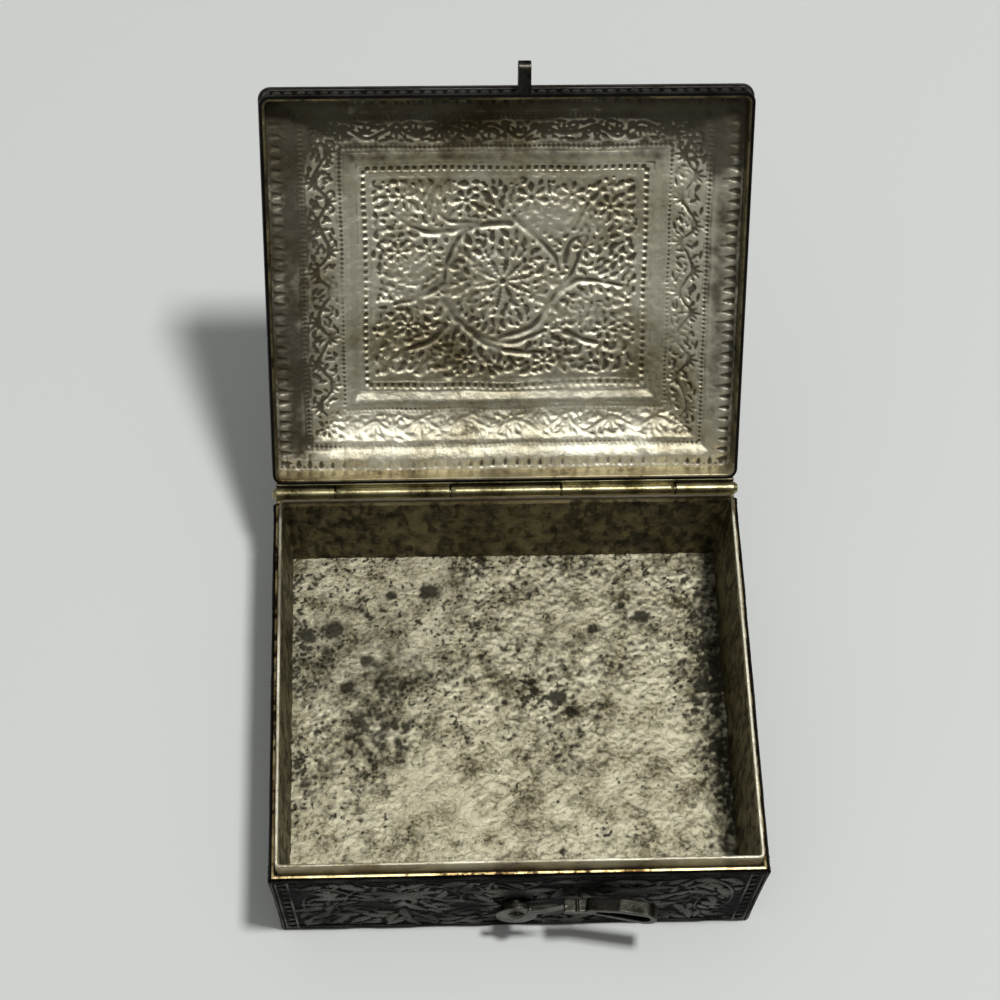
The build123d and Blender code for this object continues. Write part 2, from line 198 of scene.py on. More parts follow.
# Drawn brass tube of the hinge: olive
tarnishedTubeBrass = agedMetal("tarnishedTubeBrass", {
    "clean": "#a69e78", "tarnish": "#675f3e", "cloudSize": 7, "cloudFrom": 0.4, "cloudTo": 0.65,
    "speck": "#231c0e", "speckSize": 1.0, "speckFrom": 1.04, "speckTo": 1.26, "speckAmount": 0.7,
    "grimeAndShade": "#100d06", "grimeFrom": 0.5, "grimeTo": 1.0, "grimeAmount": 0.9, "metallic": 0.9,
    "pitDepth": 0.04, "grainSize": 0.3, "roughLow": 0.25, "roughHigh": 0.38, "bump": 0.2, "bumpDepth": 0.03})
# Latch: silver darkened by age, worn smooth by fingers at its edges
fingerWornSilver = agedMetal("fingerWornSilver", {
    "clean": "#58564e", "tarnish": "#302e25", "cloudSize": 4, "cloudFrom": 0.38, "cloudTo": 0.66,
    "speck": "#17160f", "speckSize": 1.1, "speckFrom": 1.0, "speckTo": 1.25, "speckAmount": 0.7,
    "grimeAndShade": "#0f0e0b", "grimeFrom": 0.4, "grimeTo": 1.0, "grimeAmount": 0.8, "metallic": 0.95,
    "pitDepth": 0.04, "grainSize": 0.4, "roughLow": 0.24, "roughHigh": 0.38, "bump": 0.25, "bumpDepth": 0.05})
print("metals mixed")


# Relief: a height map in millimetres, raised punch by punch and read at any point

def blurred(field, spread):
    rows, columns = field.shape
    across = np.fft.rfftfreq(columns)[None, :]
    down = np.fft.fftfreq(rows)[:, None]
    keep = np.exp(-2 * (pi * spread) ** 2 * (across ** 2 + down ** 2))
    return np.fft.irfft2(np.fft.rfft2(field) * keep, s=field.shape)


def softNoise(shape, spread, seed):
    field = blurred(np.random.default_rng(seed).standard_normal(shape), spread)
    return field / field.std()


def eased(value, low, high):
    t = np.clip((value - low) / (high - low), 0, 1)
    return t * t * (3 - 2 * t)


def smoothLine(points, gap):
    line = [points[0]] + list(points) + [points[-1]]
    dense = []
    for a, b, c, d in zip(line, line[1:], line[2:], line[3:]):
        steps = max(int(hypot(c[0] - b[0], c[1] - b[1]) / gap), 1)
        for t in np.arange(steps) / steps:
            dense.append(tuple(
                0.5 * (2 * b[i] + (c[i] - a[i]) * t + (2 * a[i] - 5 * b[i] + 4 * c[i] - d[i]) * t ** 2
                       + (3 * b[i] - a[i] - 3 * c[i] + d[i]) * t ** 3)
                for i in (0, 1)))
    return dense + [points[-1]]


class Chasing:
    def __init__(self, halfX, lowY, highY, step=0.08):
        self.step = step
        self.lowX, self.lowY = -halfX, lowY
        self.columns = int(2 * halfX / step) + 2
        self.rows = int((highY - lowY) / step) + 2
        self.height = np.zeros((self.rows, self.columns))

    def grid(self):
        xs = self.lowX + self.step * np.arange(self.columns)
        ys = self.lowY + self.step * np.arange(self.rows)
        return np.meshgrid(xs, ys)

    def window(self, x, y, reach):
        first = [max(int((c - reach - low) / self.step), 0) for c, low in ((x, self.lowX), (y, self.lowY))]
        last = [int((c + reach - low) / self.step) + 2 for c, low in ((x, self.lowX), (y, self.lowY))]
        last = [min(last[0], self.columns), min(last[1], self.rows)]
        xs = self.lowX + self.step * np.arange(first[0], last[0]) - x
        ys = self.lowY + self.step * np.arange(first[1], last[1]) - y
        where = (slice(first[1], max(last[1], first[1])), slice(first[0], max(last[0], first[0])))
        return where, xs[None, :], ys[:, None]

    def raiseTo(self, where, shape):
        self.height[where] = np.maximum(self.height[where], shape)

    def bead(self, x, y, radius, height, power=2):
        where, dx, dy = self.window(x, y, radius)
        reach = np.abs(dx / radius) ** power + np.abs(dy / radius) ** power
        self.raiseTo(where, height * np.sqrt(np.clip(1 - reach, 0, 1)))

    # A leaf from its root; it is left out where more than the crowd share of it is already raised
    def leaf(self, x, y, angle, length, width, height, vein=0.0, crowd=1.0, bend=0.0, full=0.8):
        middle = (x + cos(angle) * length / 2, y + sin(angle) * length / 2)
        where, dx, dy = self.window(*middle, length / 2 + width)
        along = (dx * cos(angle) + dy * sin(angle)) / length + 0.5
        across = dy * cos(angle) - dx * sin(angle) - bend * length * ((along - 0.5) ** 2 - 0.25)
        half = width / 2 * np.sin(pi * np.clip(along, 0, 1) ** full) ** 0.8
        edge = np.clip(1 - (across / np.maximum(half, 0.01)) ** 2, 0, 1)
        shape = height * edge ** 0.5
        if vein:
            groove = np.exp(-(across / 0.13) ** 2) * (along < 0.88)
            ribs = 0.5 + 0.5 * np.cos(2 * pi * (along * length - 0.9 * np.abs(across)) / 0.85)
            ragged = np.clip(1 - (across / np.maximum(half * (1 - 0.35 * ribs), 0.01)) ** 2, 0, 1)
            ribbed = 1 - 0.6 * vein * ribs * (np.abs(across) > 0.15)
            shape = height * ragged ** 0.75 * (1 - vein * groove) * ribbed
        if crowd < 1:
            body = shape > 0.15 * height
            if body.sum() < 8 or (self.height[where][body] > 0.06).mean() > crowd:
                return False
        self.raiseTo(where, shape)
        return True

    def stem(self, points, width, height, taper=0.0):
        line = smoothLine(points, self.step * 1.5)
        for i, (x, y) in enumerate(line):
            size = 1 - taper * i / len(line)
            self.bead(x, y, width / 2 * size, height * (0.6 + 0.4 * size))

    def flower(self, x, y, radius, petals, height, turn=0.0):
        for i in range(petals):
            angle = turn + 2 * pi * i / petals
            start = 0.22 * radius
            self.leaf(x + start * cos(angle), y + start * sin(angle), angle, 0.78 * radius,
                      1.25 * pi * radius / petals, height, full=1.3)
        self.bead(x, y, 0.24 * radius, height * 1.1)

    # Leaves thrown in at random until nothing more fits
    def fill(self, sizes, height, seed, inside, flow, tries, vein=0.0, crowd=0.12, bend=0.35):
        rng = np.random.default_rng(seed)
        for length, width in sizes:
            for x, y, spin in zip(*(rng.random((3, tries)))):
                x = self.lowX + x * self.step * self.columns
                y = self.lowY + y * self.step * self.rows
                if not inside(x, y):
                    continue
                angle = flow(x, y) + (spin - 0.5) * 1.7
                tip = (x + length * cos(angle), y + length * sin(angle))
                if inside(*tip):
                    size = 0.85 + 0.3 * ((spin * 7.3) % 1)
                    self.leaf(x, y, angle, length * size, width * size, height * size, vein=vein,
                              crowd=crowd, bend=bend * (1 if spin > 0.5 else -1))

    # The same ground with other values on it
    def overlay(self, field):
        other = copy(self)
        other.height = field
        return other

    def read(self, x, y):
        column = np.clip((x - self.lowX) / self.step, 0, self.columns - 1.001)
        row = np.clip((y - self.lowY) / self.step, 0, self.rows - 1.001)
        c, r = column.astype(int), row.astype(int)
        fc, fr = column - c, row - r
        h = self.height
        return ((h[r, c] * (1 - fc) + h[r, c + 1] * fc) * (1 - fr)
                + (h[r + 1, c] * (1 - fc) + h[r + 1, c + 1] * fc) * fr)


# Mesh helpers

def readPoints(mesh):
    points = np.empty(len(mesh.vertices) * 3)
    mesh.vertices.foreach_get("co", points)
    return points.reshape(-1, 3)


# A closed mesh whose faces point inwards has a negative volume
def isInsideOut(mesh, points):
    mesh.calc_loop_triangles()
    corners = np.empty(len(mesh.loop_triangles) * 3, np.int32)
    mesh.loop_triangles.foreach_get("vertices", corners)
    a, b, c = points[corners.reshape(-1, 3).T]
    return np.sum(a * np.cross(b, c)) < 0


# Puts a worked mesh in its place, in metres, and hands it to its body
def placePiece(name, mesh, points, relief, finishes, body, replaced, turn=None, sharp=45):
    points = np.asarray(points, float)
    if turn is not None:
        points = points @ np.array(turn.to_3x3()).T + np.array(turn.translation)
    mesh.vertices.foreach_set("co", (points * mm).ravel())
    # Bending a flat grid to its place can mirror it
    if isInsideOut(mesh, points):
        mesh.flip_normals()
    attribute = mesh.attributes.new("relief", "FLOAT", "POINT")
    attribute.data.foreach_set("value", np.asarray(relief, float))
    for finish in finishes:
        mesh.materials.append(finish)
    mesh.update()
    mesh.shade_smooth()
    mesh.set_sharp_from_angle(angle=radians(sharp))
    piece = bpy.data.objects.new(name, mesh)
    bpy.context.scene.collection.objects.link(piece)
    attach(piece, body)
    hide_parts(*replaced)
    print("made", name, len(mesh.polygons), "faces")


def meshFrom(name, bm):
    bmesh.ops.recalc_face_normals(bm, faces=bm.faces)
    mesh = bpy.data.meshes.new(name)
    bm.to_mesh(mesh)
    bm.free()
    return mesh


# Flat grid of square cells over the lid, with a hole for the piece inside it.
# Its second skin is marked by a height of 1
def sheetGrid(halfX, halfY, cell, hole=None):
    bm = bmesh.new()
    columns, rows = round(2 * halfX / cell), round(2 * halfY / cell)
    shape = Matrix.Diagonal((halfX, halfY, 1, 1))
    bmesh.ops.create_grid(bm, x_segments=columns, y_segments=rows, size=1, matrix=shape)
    if hole:
        inner = [f for f in bm.faces if all(abs(c) < h for c, h in zip(f.calc_center_median(), hole))]
        bmesh.ops.delete(bm, geom=inner, context="FACES")
    skin = bmesh.ops.extrude_face_region(bm, geom=bm.faces[:])["geom"]
    bmesh.ops.translate(bm, verts=[v for v in skin if isinstance(v, bmesh.types.BMVert)], vec=(0, 0, 1))
    for face in bm.faces:
        face.material_index = 0 if all(v.co.z < 0.5 for v in face.verts) else 1
    return bm


# Closed band: rings of points round the outline, stacked as its section goes.
# A point's angle is its way round, and its height counts the rings
def bandGrid(segments, rings):
    bm = bmesh.new()
    bmesh.ops.create_circle(bm, segments=segments, radius=1)
    first = bm.edges[:]
    last = first
    for _ in range(rings - 1):
        made = bmesh.ops.extrude_edge_only(bm, edges=last)["geom"]
        bmesh.ops.translate(bm, verts=[v for v in made if isinstance(v, bmesh.types.BMVert)], vec=(0, 0, 1))
        last = [e for e in made if isinstance(e, bmesh.types.BMEdge)]
    bmesh.ops.bridge_loops(bm, edges=first + last)
    return bm


# Each point's way round a band, from 0 to 1, and the number of its ring
def readBand(mesh):
    points = readPoints(mesh)
    way = (np.arctan2(points[:, 1], points[:, 0]) / (2 * pi)) % 1
    return way, np.round(points[:, 2]).astype(int)


# Slab: a fine grid for its worked face, then its edges drawn back and closed
def slabMesh(name, halfX, halfY, cell, depth, middleY=0):
    bm = bmesh.new()
    bmesh.ops.create_grid(
        bm, x_segments=round(2 * halfX / cell), y_segments=round(2 * halfY / cell), size=1,
        matrix=Matrix.Translation((0, middleY, 0)) @ Matrix.Diagonal((halfX, halfY, 1, 1)))
    made = bmesh.ops.extrude_edge_only(bm, edges=[e for e in bm.edges if e.is_boundary])["geom"]
    edge = [v for v in made if isinstance(v, bmesh.types.BMVert)]
    bmesh.ops.translate(bm, verts=edge, vec=(0, 0, depth))
    bmesh.ops.holes_fill(bm, edges=[e for e in bm.edges if e.is_boundary], sides=0)
    return meshFrom(name, bm)


# Points and normals round a rounded rectangle, and its length; the way round starts at the back
def roundedOutline(way, halfX, halfY, radius):
    corners = []
    for quarter in range(4):
        centre = ((halfX - radius) * (1, -1, -1, 1)[quarter], (halfY - radius) * (1, 1, -1, -1)[quarter])
        turns = pi / 2 * quarter + np.linspace(0, pi / 2, 17)
        corners += [(centre[0] + radius * cos(t), centre[1] + radius * sin(t), t) for t in turns]
    corners = [(0, halfY, pi / 2)] + corners[17:] + corners[:17] + [(0, halfY, pi / 2)]
    x, y, t = (np.array(c) for c in zip(*corners))
    t = np.unwrap(t)
    length = np.concatenate([[0], np.cumsum(np.hypot(np.diff(x), np.diff(y)))])
    at = way * length[-1]
    return np.interp(at, length, x), np.interp(at, length, y), np.interp(at, length, t), length[-1]


# Lid: the form of its sheet, from the rim in to the panel

lidForm = {
    # height above the shoulder, inset at the sides, inset at the front and back
    "steps": ((0.9, 0.0, 0.0), (0.9, 4.2, 3.1), (1.9, 6.6, 5.1), (2.3, 8.2, 6.6), (4.5, 14.0, 12.1),
              (4.6, 16.0, 14.2), (5.2, 18.0, 16.6), (5.6, 20.6, 19.0)),
    "sheet": 0.6,
    "sectionShift": 0.2,
    "shoulder": 4.3,
    "rimOverhang": 0.4,
    "rimBevel": 0.5,
    "bevelDrop": 0.2,
    "corner": 2.0,
    "bandSeat": 1.0,
    "panelRise": 0.35,
    "panelReach": (27, 22),
    "flangeDish": 0.45,
    "tongue": 0.25,
    "tongueDrop": 0.09,
}
levels = np.arange(len(lidForm["steps"]))
stepHeights, sideInsets, endInsets = (np.array(column) for column in zip(*lidForm["steps"]))
halfWidth, halfDepth = boxForm["halfTop"], boxForm["halfDepth"]
lidBase = boxForm["ledge"] + lidForm["shoulder"]


# How far up the steps a point of the lid lies, from 0 at the rim to 7 at the panel
def stepLevel(x, y, shift):
    sides = np.interp(halfWidth - np.abs(x) - shift, sideInsets, levels)
    ends = np.interp(halfDepth - np.abs(y) - shift, endInsets, levels)
    return np.minimum(sides, ends)


def lidHeight(level):
    lower = np.clip(level.astype(int), 0, len(levels) - 2)
    t = level - lower
    cove = 1 - np.cos(t * pi / 2)
    cushion = 0.55 * t + 0.45 * np.sin(t * pi / 2)
    ogee = np.clip((t - 0.2) / 0.6, 0, 1)
    climb = np.select([lower == 1, lower == 3, lower == 5], [0.5 * t + 0.5 * cove, cushion, ogee], t)
    return stepHeights[lower] + (stepHeights[lower + 1] - stepHeights[lower]) * climb


# Places spaced evenly along the four sides at an inset, with the way in from each
def ringPlaces(sideInset, endInset, pitch):
    runs = ((halfWidth - sideInset, halfDepth - endInset, False),
            (halfDepth - endInset, halfWidth - sideInset, True))
    for halfRun, reach, turned in runs:
        count = round(2 * halfRun / pitch)
        for side in (-1, 1):
            for i in range(count):
                along = halfRun * ((2 * i + 1) / count - 1)
                if turned:
                    yield side * reach, along, (pi if side > 0 else 0)
                else:
                    yield along, side * reach, (-pi / 2 if side > 0 else pi / 2)


# Lid ornament, with x to the right and v from the hinge toward the free edge
panelStems = (
    ((1.3, 11.5), (-7.3, 10.2), (-11.6, 4.0), (-12.3, -2.2)),
    ((-12.0, -4.9), (-8.8, -9.7), (-3.4, -13.3), (1.7, -14.2), (8.3, -11.5)),
    ((-0.6, -13.3), (6.0, -10.2), (10.3, -3.5), (13.4, 0.9), (16.1, 8.4)),
    ((2.1, 12.8), (6.8, 8.4), (9.9, 4.4), (10.7, 1.3)),
    ((-7.3, 10.6), (-13.5, 9.7), (-18.2, 10.6), (-22.5, 13.7)),
    ((-5.7, 11.3), (-10.4, 11.9), (-13.1, 13.7)),
    ((-12.3, -1.3), (-17.4, -4.0), (-22.1, -5.3)),
    ((-12.0, -10.2), (-15.1, -13.7), (-20.9, -15.9)),
    ((10.7, -3.1), (14.2, -0.9), (17.7, -0.9), (23.9, -2.2)),
    ((11.8, 3.1), (13.0, 7.5), (16.1, 8.8)),
    ((13.4, 10.6), (16.1, 15.5)),
    ((-5.7, -12.4), (-1.0, -15.6), (8.3, -16.4)),
    ((12.6, -11.9), (16.1, -13.7), (19.2, -14.6)),
)
panelFlowers = (
    (-15.1, 5.8, 2.9), (5.2, 16.8, 3.5), (13.0, 17.4, 3.1), (-7.7, 16.2, 2.8), (15.7, 6.2, 2.6),
    (20.4, -11.5, 2.8), (-21.3, 5.3, 2.6), (-19.5, -10.2, 2.6), (8.0, -18.2, 2.5), (-8.0, -17.6, 2.6),
    (20.8, 14.6, 3.0), (-20.3, 17.0, 2.6),
)
panelChasing = {
    "height": 0.55,
    "stemWidth": 1.9,
    "rosette": (-0.5, -0.9),
    "petals": 10,
    "petalLength": 4.9,
    "petalWidth": 1.8,
    "halfX": 26.8,
    "halfV": 21.5,
    "fill": ((2.6, 1.9), (2.1, 1.65), (1.7, 1.4), (1.35, 1.15), (1.0, 0.95)),
    "tries": 3400,
    "crowd": 0.26,
}


def chasePanel(canvas):
    form = panelChasing
    centreX, centreV = form["rosette"]
    for stem in panelStems:
        canvas.stem(stem, form["stemWidth"], form["height"], taper=0.35)
    for i in range(form["petals"]):
        angle = 2 * pi * i / form["petals"] + 0.15
        length = form["petalLength"] * (1 + 0.12 * sin(3.7 * i))
        canvas.leaf(centreX + 0.9 * cos(angle), centreV + 0.9 * sin(angle), angle, length,
                    form["petalWidth"], form["height"], vein=0.35, full=1.2)
    canvas.bead(centreX, centreV, 0.85, form["height"] * 1.1)
    for x, v, radius in panelFlowers:
        canvas.flower(x, v, radius, 7, form["height"] * 0.95, turn=x)

    def inside(x, v):
        return abs(x) < form["halfX"] - 0.5 and abs(v) < form["halfV"] - 0.5

    def flow(x, v):
        spread = atan2(v - centreV, x - centreX)
        return spread + (0.9 if hypot(x, v) > 12 else 0.2) * sin(0.35 * x + 0.2 * v)

    canvas.fill(form["fill"], form["height"] * 0.85, 11, inside, flow, form["tries"], crowd=form["crowd"])


scrollChasing = {
    "height": 0.4,
    "halfWave": 4.6,
    "swing": 1.35,
    "stemWidth": 0.9,
    "middle": (11.2, 9.5),
    "flowerRadius": 1.9,
    "leafLength": 2.6,
    "leafWidth": 0.85,
    "fill": ((1.9, 1.05), (1.4, 0.9), (1.0, 0.75)),
    "tries": 7000,
    "crowd": 0.3,
}


# One side of the scroll band: a wavy stem with a fan of leaves in every bay
def chaseScroll(canvas, halfRun, place, facing):
    form = scrollChasing
    count = 2 * round(halfRun / form["halfWave"])
    wave = 2 * halfRun / count
    stem = []
    for i in range(count):
        start = -halfRun + wave * i + 0.6 * sin(2.3 * i + facing)
        side = 1 if i % 2 else -1
        swing = side * form["swing"] * (1 + 0.3 * sin(5.1 * i + facing))
        stem += [place(start, 0), place(start + wave / 2, swing)]
        root = place(start + wave * 0.45, side * form["swing"] * 0.55)
        for k in (-2, -1, 0, 1, 2):
            angle = facing - side * pi / 2 + 0.62 * k
            canvas.leaf(*root, angle, form["leafLength"] - 0.35 * abs(k), form["leafWidth"], form["height"])
        tip = place(start + wave * 0.95, side * 2.3)
        canvas.leaf(*tip, facing + pi + side * 0.2, 2.2, 0.8, form["height"])
    stem.append(place(halfRun, 0))
    canvas.stem(stem, form["stemWidth"], form["height"])


lidRows = {
    # side inset, end inset, pitch, radius, height
    "outerFineBeads": (7.4, 5.85, 0.95, 0.4, 0.34),
    "innerFineBeads": (14.8, 12.95, 0.95, 0.42, 0.34),
    "squareBeads": (19.5, 17.75, 1.5, 0.6, 0.42),
    # side inset, end inset, pitch
    "ticks": (1.5, 1.35, 2.35),
    # side inset, end inset, half width, height
    "lines": ((6.75, 5.25, 0.16, 0.14), (8.05, 6.5, 0.16, 0.14), (14.05, 12.25, 0.14, 0.12),
              (15.6, 13.75, 0.14, 0.08), (18.15, 16.75, 0.18, 0.16), (20.6, 18.8, 0.2, 0.2),
              (20.95, 19.35, 0.14, 0.12)),
}

lidWork = {
    "sway": 0.13, "uneasyForce": 0.24,  # how far the hand wanders, how unevenly it strikes
    "warp": 0.06, "planishing": 0.045, "grain": 0.022,  # heights of the sheet's own unevenness
    "cavity": 0.3,  # depth of a hollow that is full of grime
}


def chaseLid():
    canvas = Chasing(48.5, -42, 42)
    middleX, middleY = (h - i for h, i in zip((halfWidth, halfDepth), scrollChasing["middle"]))
    flowerRoom = scrollChasing["flowerRadius"] + 0.3
    for side in (-1, 1):
        chaseScroll(canvas, middleX - flowerRoom,
                    lambda a, b, s=side: (a, s * (middleY - b)), 0 if side < 0 else pi)
        chaseScroll(canvas, middleY - flowerRoom,
                    lambda a, b, s=side: (s * (middleX - b), a), -pi / 2 * side)
        for other in (-1, 1):
            canvas.flower(side * middleX, other * middleY, scrollChasing["flowerRadius"], 8, 0.42, turn=0.2)

    def inBand(x, v):
        level = stepLevel(np.array([x]), np.array([v]), 0)[0]
        return 3.12 < level < 3.95

    canvas.fill(scrollChasing["fill"], 0.36, 5, inBand, lambda x, v: x + 2 * v,
                scrollChasing["tries"], crowd=scrollChasing["crowd"])
    chasePanel(canvas)
    for name in ("outerFineBeads", "innerFineBeads"):
        sideInset, endInset, pitch, radius, height = lidRows[name]
        for x, v, _ in ringPlaces(sideInset, endInset, pitch):
            canvas.bead(x, v, radius, height)
    sideInset, endInset, pitch, radius, height = lidRows["squareBeads"]
    for x, v, _ in ringPlaces(sideInset, endInset, pitch):
        canvas.bead(x, v, radius, height, power=4)
    sideInset, endInset, pitch = lidRows["ticks"]
    for x, v, inward in ringPlaces(sideInset, endInset, pitch):
        length = 2.3 if abs(inward) in (0, pi) else 1.75
        canvas.leaf(x, v, inward, length, 1.1, 0.3, full=0.55)
        for lean in (-1, 1):
            canvas.leaf(x + 0.75 * lean * abs(sin(inward)), v + 0.75 * lean * abs(cos(inward)),
                        inward - lean * 0.9 * (1 if sin(inward) + cos(inward) > 0 else -1), 0.9, 0.45, 0.16)
    gx, gy = canvas.grid()
    for sideInset, endInset, width, height in lidRows["lines"]:
        reach = np.maximum(np.abs(gx) - halfWidth + sideInset, np.abs(gy) - halfDepth + endInset)
        canvas.height = np.maximum(canvas.height, height * np.exp(-(reach / width) ** 2))
    canvas.height = blurred(canvas.height, 1.7)
    # The hand wanders and the punches land unevenly
    shape = canvas.height.shape
    sway = [lidWork["sway"] * softNoise(shape, 45, seed) for seed in (23, 24)]
    force = np.clip(0.95 + lidWork["uneasyForce"] * softNoise(shape, 40, 25), 0.4, 1.35)
    canvas.height = canvas.read(gx + sway[0], gy + sway[1]) * force
    return canvas


lidChasing = chaseLid()
lidShape = lidChasing.height.shape
lidUneven = lidChasing.overlay(
    lidWork["warp"] * softNoise(lidShape, 30, 21) + lidWork["planishing"] * softNoise(lidShape, 9, 22)
    + lidWork["grain"] * softNoise(lidShape, 3.5, 26))
lidHollows = lidChasing.overlay((lidChasing.height - blurred(lidChasing.height, 7)) / lidWork["cavity"])
print("lid chased")


# Painted shade inside the lid: darker toward the free edge, where the skirt's shadow falls, and toward the
# left and right, and lighter by the hinge, with streaks of tarnish
def lidShadeAndTarnish(x, v):
    streaks = 0.07 * lidUneven.read(x, v) / lidWork["warp"]
    # freeEdge, left and right are painted shade; streaks are tarnish
    freeEdge, left, right = 0.6 * eased(v, 21, 33), 0.55 * eased(-x, 29, 42), 0.33 * eased(x, 32, 44)
    return 0.48 + freeEdge + left + right + streaks - 0.16 * eased(-v, 18, 26)


# One sheet of the lid between two outlines, both skins following the relief
def makeLidSheet(name, halfX, halfY, cell, hole, tongue=lidForm["tongue"]):
    mesh = meshFrom(name, sheetGrid(halfX + tongue, halfY + tongue, cell, hole))
    points = readPoints(mesh)
    x, y = points[:, 0].copy(), points[:, 1].copy()
    gridX, gridV = points[:, 0], -points[:, 1]
    outer = points[:, 2] > 0.5
    relief = lidChasing.read(gridX, gridV)
    uneven = lidUneven.read(gridX, gridV)
    reachX, reachY = lidForm["panelReach"]
    dome = lidForm["panelRise"] * np.clip(1 - (x / reachX) ** 2, 0, 1) * np.clip(1 - (y / reachY) ** 2, 0, 1)
    outerZ = lidHeight(stepLevel(x, y, 0))
    innerLevel = stepLevel(x, y, lidForm["sectionShift"])
    dish = lidForm["flangeDish"] * (1 - np.clip(innerLevel, 0, 1))
    innerZ = lidHeight(innerLevel) - lidForm["sheet"] - dish
    seat = np.minimum(halfWidth - np.abs(x), halfDepth - np.abs(y)) < lidForm["bandSeat"] - 0.05
    relief[seat] = 0
    z = np.where(outer, outerZ, innerZ) + dome + relief + np.where(seat, 0, uneven)
    z[seat & ~outer] = 0
    # A tongue reaches a little into the sheet outside it, between that one's skins
    past = np.clip(np.maximum(np.abs(x) - halfX, np.abs(y) - halfY), 0, None) * bool(tongue)
    z -= np.where(outer, 1, -1) * past / lidForm["tongue"] * lidForm["tongueDrop"]
    # Rim: its edge stands over the skirt and is bevelled, and its corners are round
    overhang, bevel = lidForm["rimOverhang"], lidForm["rimBevel"]
    edge = np.maximum(np.abs(x) - halfWidth, np.abs(y) - halfDepth) + bevel - overhang
    z -= np.where(outer, np.clip(edge / bevel, 0, 1) * lidForm["bevelDrop"], 0)
    radius = lidForm["corner"] + overhang
    cx, cy = halfWidth + overhang - radius, halfDepth + overhang - radius
    u, w = (np.abs(x) - cx) / radius, (np.abs(y) - cy) / radius
    inCorner = (u > 0) & (w > 0)
    reach, turn = np.maximum(u, w), np.arctan2(w, u)
    x[inCorner] = (np.sign(x) * (cx + radius * reach * np.cos(turn)))[inCorner]
    y[inCorner] = (np.sign(y) * (cy + radius * reach * np.sin(turn)))[inCorner]
    # Inside, the relief attribute carries painted shade toward the free edge and the sides, plus grime in the
    # hollows
    shadeAndHollowGrime = np.clip(lidShadeAndTarnish(gridX, gridV) + lidHollows.read(gridX, gridV), 0, 1)
    # Outside, the plain steps between the chased bands are rubbed by handling
    level = stepLevel(gridX, gridV, 0)
    plain = (level < 3.05) | ((level > 4.05) & (level < 6.6))
    rubbed = np.maximum(relief / 0.5, np.where(plain, 0.52 + 0.8 * uneven, 0))
    placePiece(name, mesh, np.stack([x, y, lidBase + z], axis=1),
               np.where(outer, np.clip(rubbed, 0, 1), shadeAndHollowGrime),
               (satinTarnishedSilver, oxidisedChasedSilver), "lid", ("lid_top",),
               turn=openTurn)


overhang = lidForm["rimOverhang"]
bandEdge = (halfWidth - 6.6, halfDepth - 5.1)
frameEdge = (halfWidth - 16.0, halfDepth - 14.2)
panelEdge = (halfWidth - 20.0, halfDepth - 18.3)
makeLidSheet("lidRim", halfWidth + overhang, halfDepth + overhang, 0.23, bandEdge, tongue=0)
makeLidSheet("lidScrollBand", *bandEdge, 0.237, frameEdge)
makeLidSheet("lidBeadedFrame", *frameEdge, 0.24, panelEdge)
makeLidSheet("lidFloralPanel", *panelEdge, 0.23, None)


# Skirt of the lid: a row of upright drops between two lines, curling out at the top
skirtForm = {
    "gap": 0.06, "top": 4.3, "flareStart": 3.2, "flare": 0.3, "sheet": 0.55, "relief": 0.22,
    "segments": 1400, "rows": 20, "lines": (0.45, 3.6), "lineWidth": 0.13,
    # a drop's half width is a share of the pitch
    "dropPitch": 2.2, "dropMiddle": 2.05, "dropHalfHeight": 1.35, "dropHalfWidth": 0.36,
}


def makeSkirt():
    form = skirtForm
    rows = form["rows"]
    heights = np.concatenate([np.linspace(form["gap"], form["top"], rows), [form["top"], form["gap"]]])
    climb = (heights - form["flareStart"]) / (form["top"] - form["flareStart"])
    flare = form["flare"] * np.clip(climb, 0, 1)
    inset = np.concatenate([-flare[:rows], [form["sheet"], form["sheet"]]])
    mesh = meshFrom("lidSkirt", bandGrid(form["segments"], rows + 2))
    way, ring = readBand(mesh)
    x, y, normal, length = roundedOutline(way, halfWidth, halfDepth, lidForm["corner"])
    z = heights[ring]
    count = round(length / form["dropPitch"])
    rng = np.random.default_rng(71)
    number = (way * count).astype(int) % count
    phase = way * count % 1 - 0.5 + rng.uniform(-0.1, 0.1, count)[number]
    up = (z - form["dropMiddle"] - rng.uniform(-0.2, 0.2, count)[number]) / form["dropHalfHeight"]
    across = phase / form["dropHalfWidth"]
    drop = np.clip(1 - across ** 2 - up ** 2, 0, 1) ** 0.5 * rng.uniform(0.45, 1, count)[number]
    lines = sum(np.exp(-((z - line) / form["lineWidth"]) ** 2) for line in form["lines"])
    relief = np.where(ring < rows, np.maximum(drop, 0.8 * lines), 0)
    relief[(ring == 0) | (ring == rows - 1)] = 0
    out = -inset[ring] + form["relief"] * relief
    x, y = x + out * np.cos(normal), y + out * np.sin(normal)
    placePiece("lidSkirt", mesh, np.stack([x, y, boxForm["ledge"] + z], axis=1),
               np.clip(relief + 0.25, 0, 1), (oxidisedChasedSilver,), "lid",
               ("lid_skirt",), turn=openTurn)


makeSkirt()


# Band inside the skirt: plain, cut by hand, so its edge and face wander a little
bandForm = {"gap": 0.06, "top": 4.3, "outer": 0.55, "inner": 1.0, "segments": 700, "rows": 10}


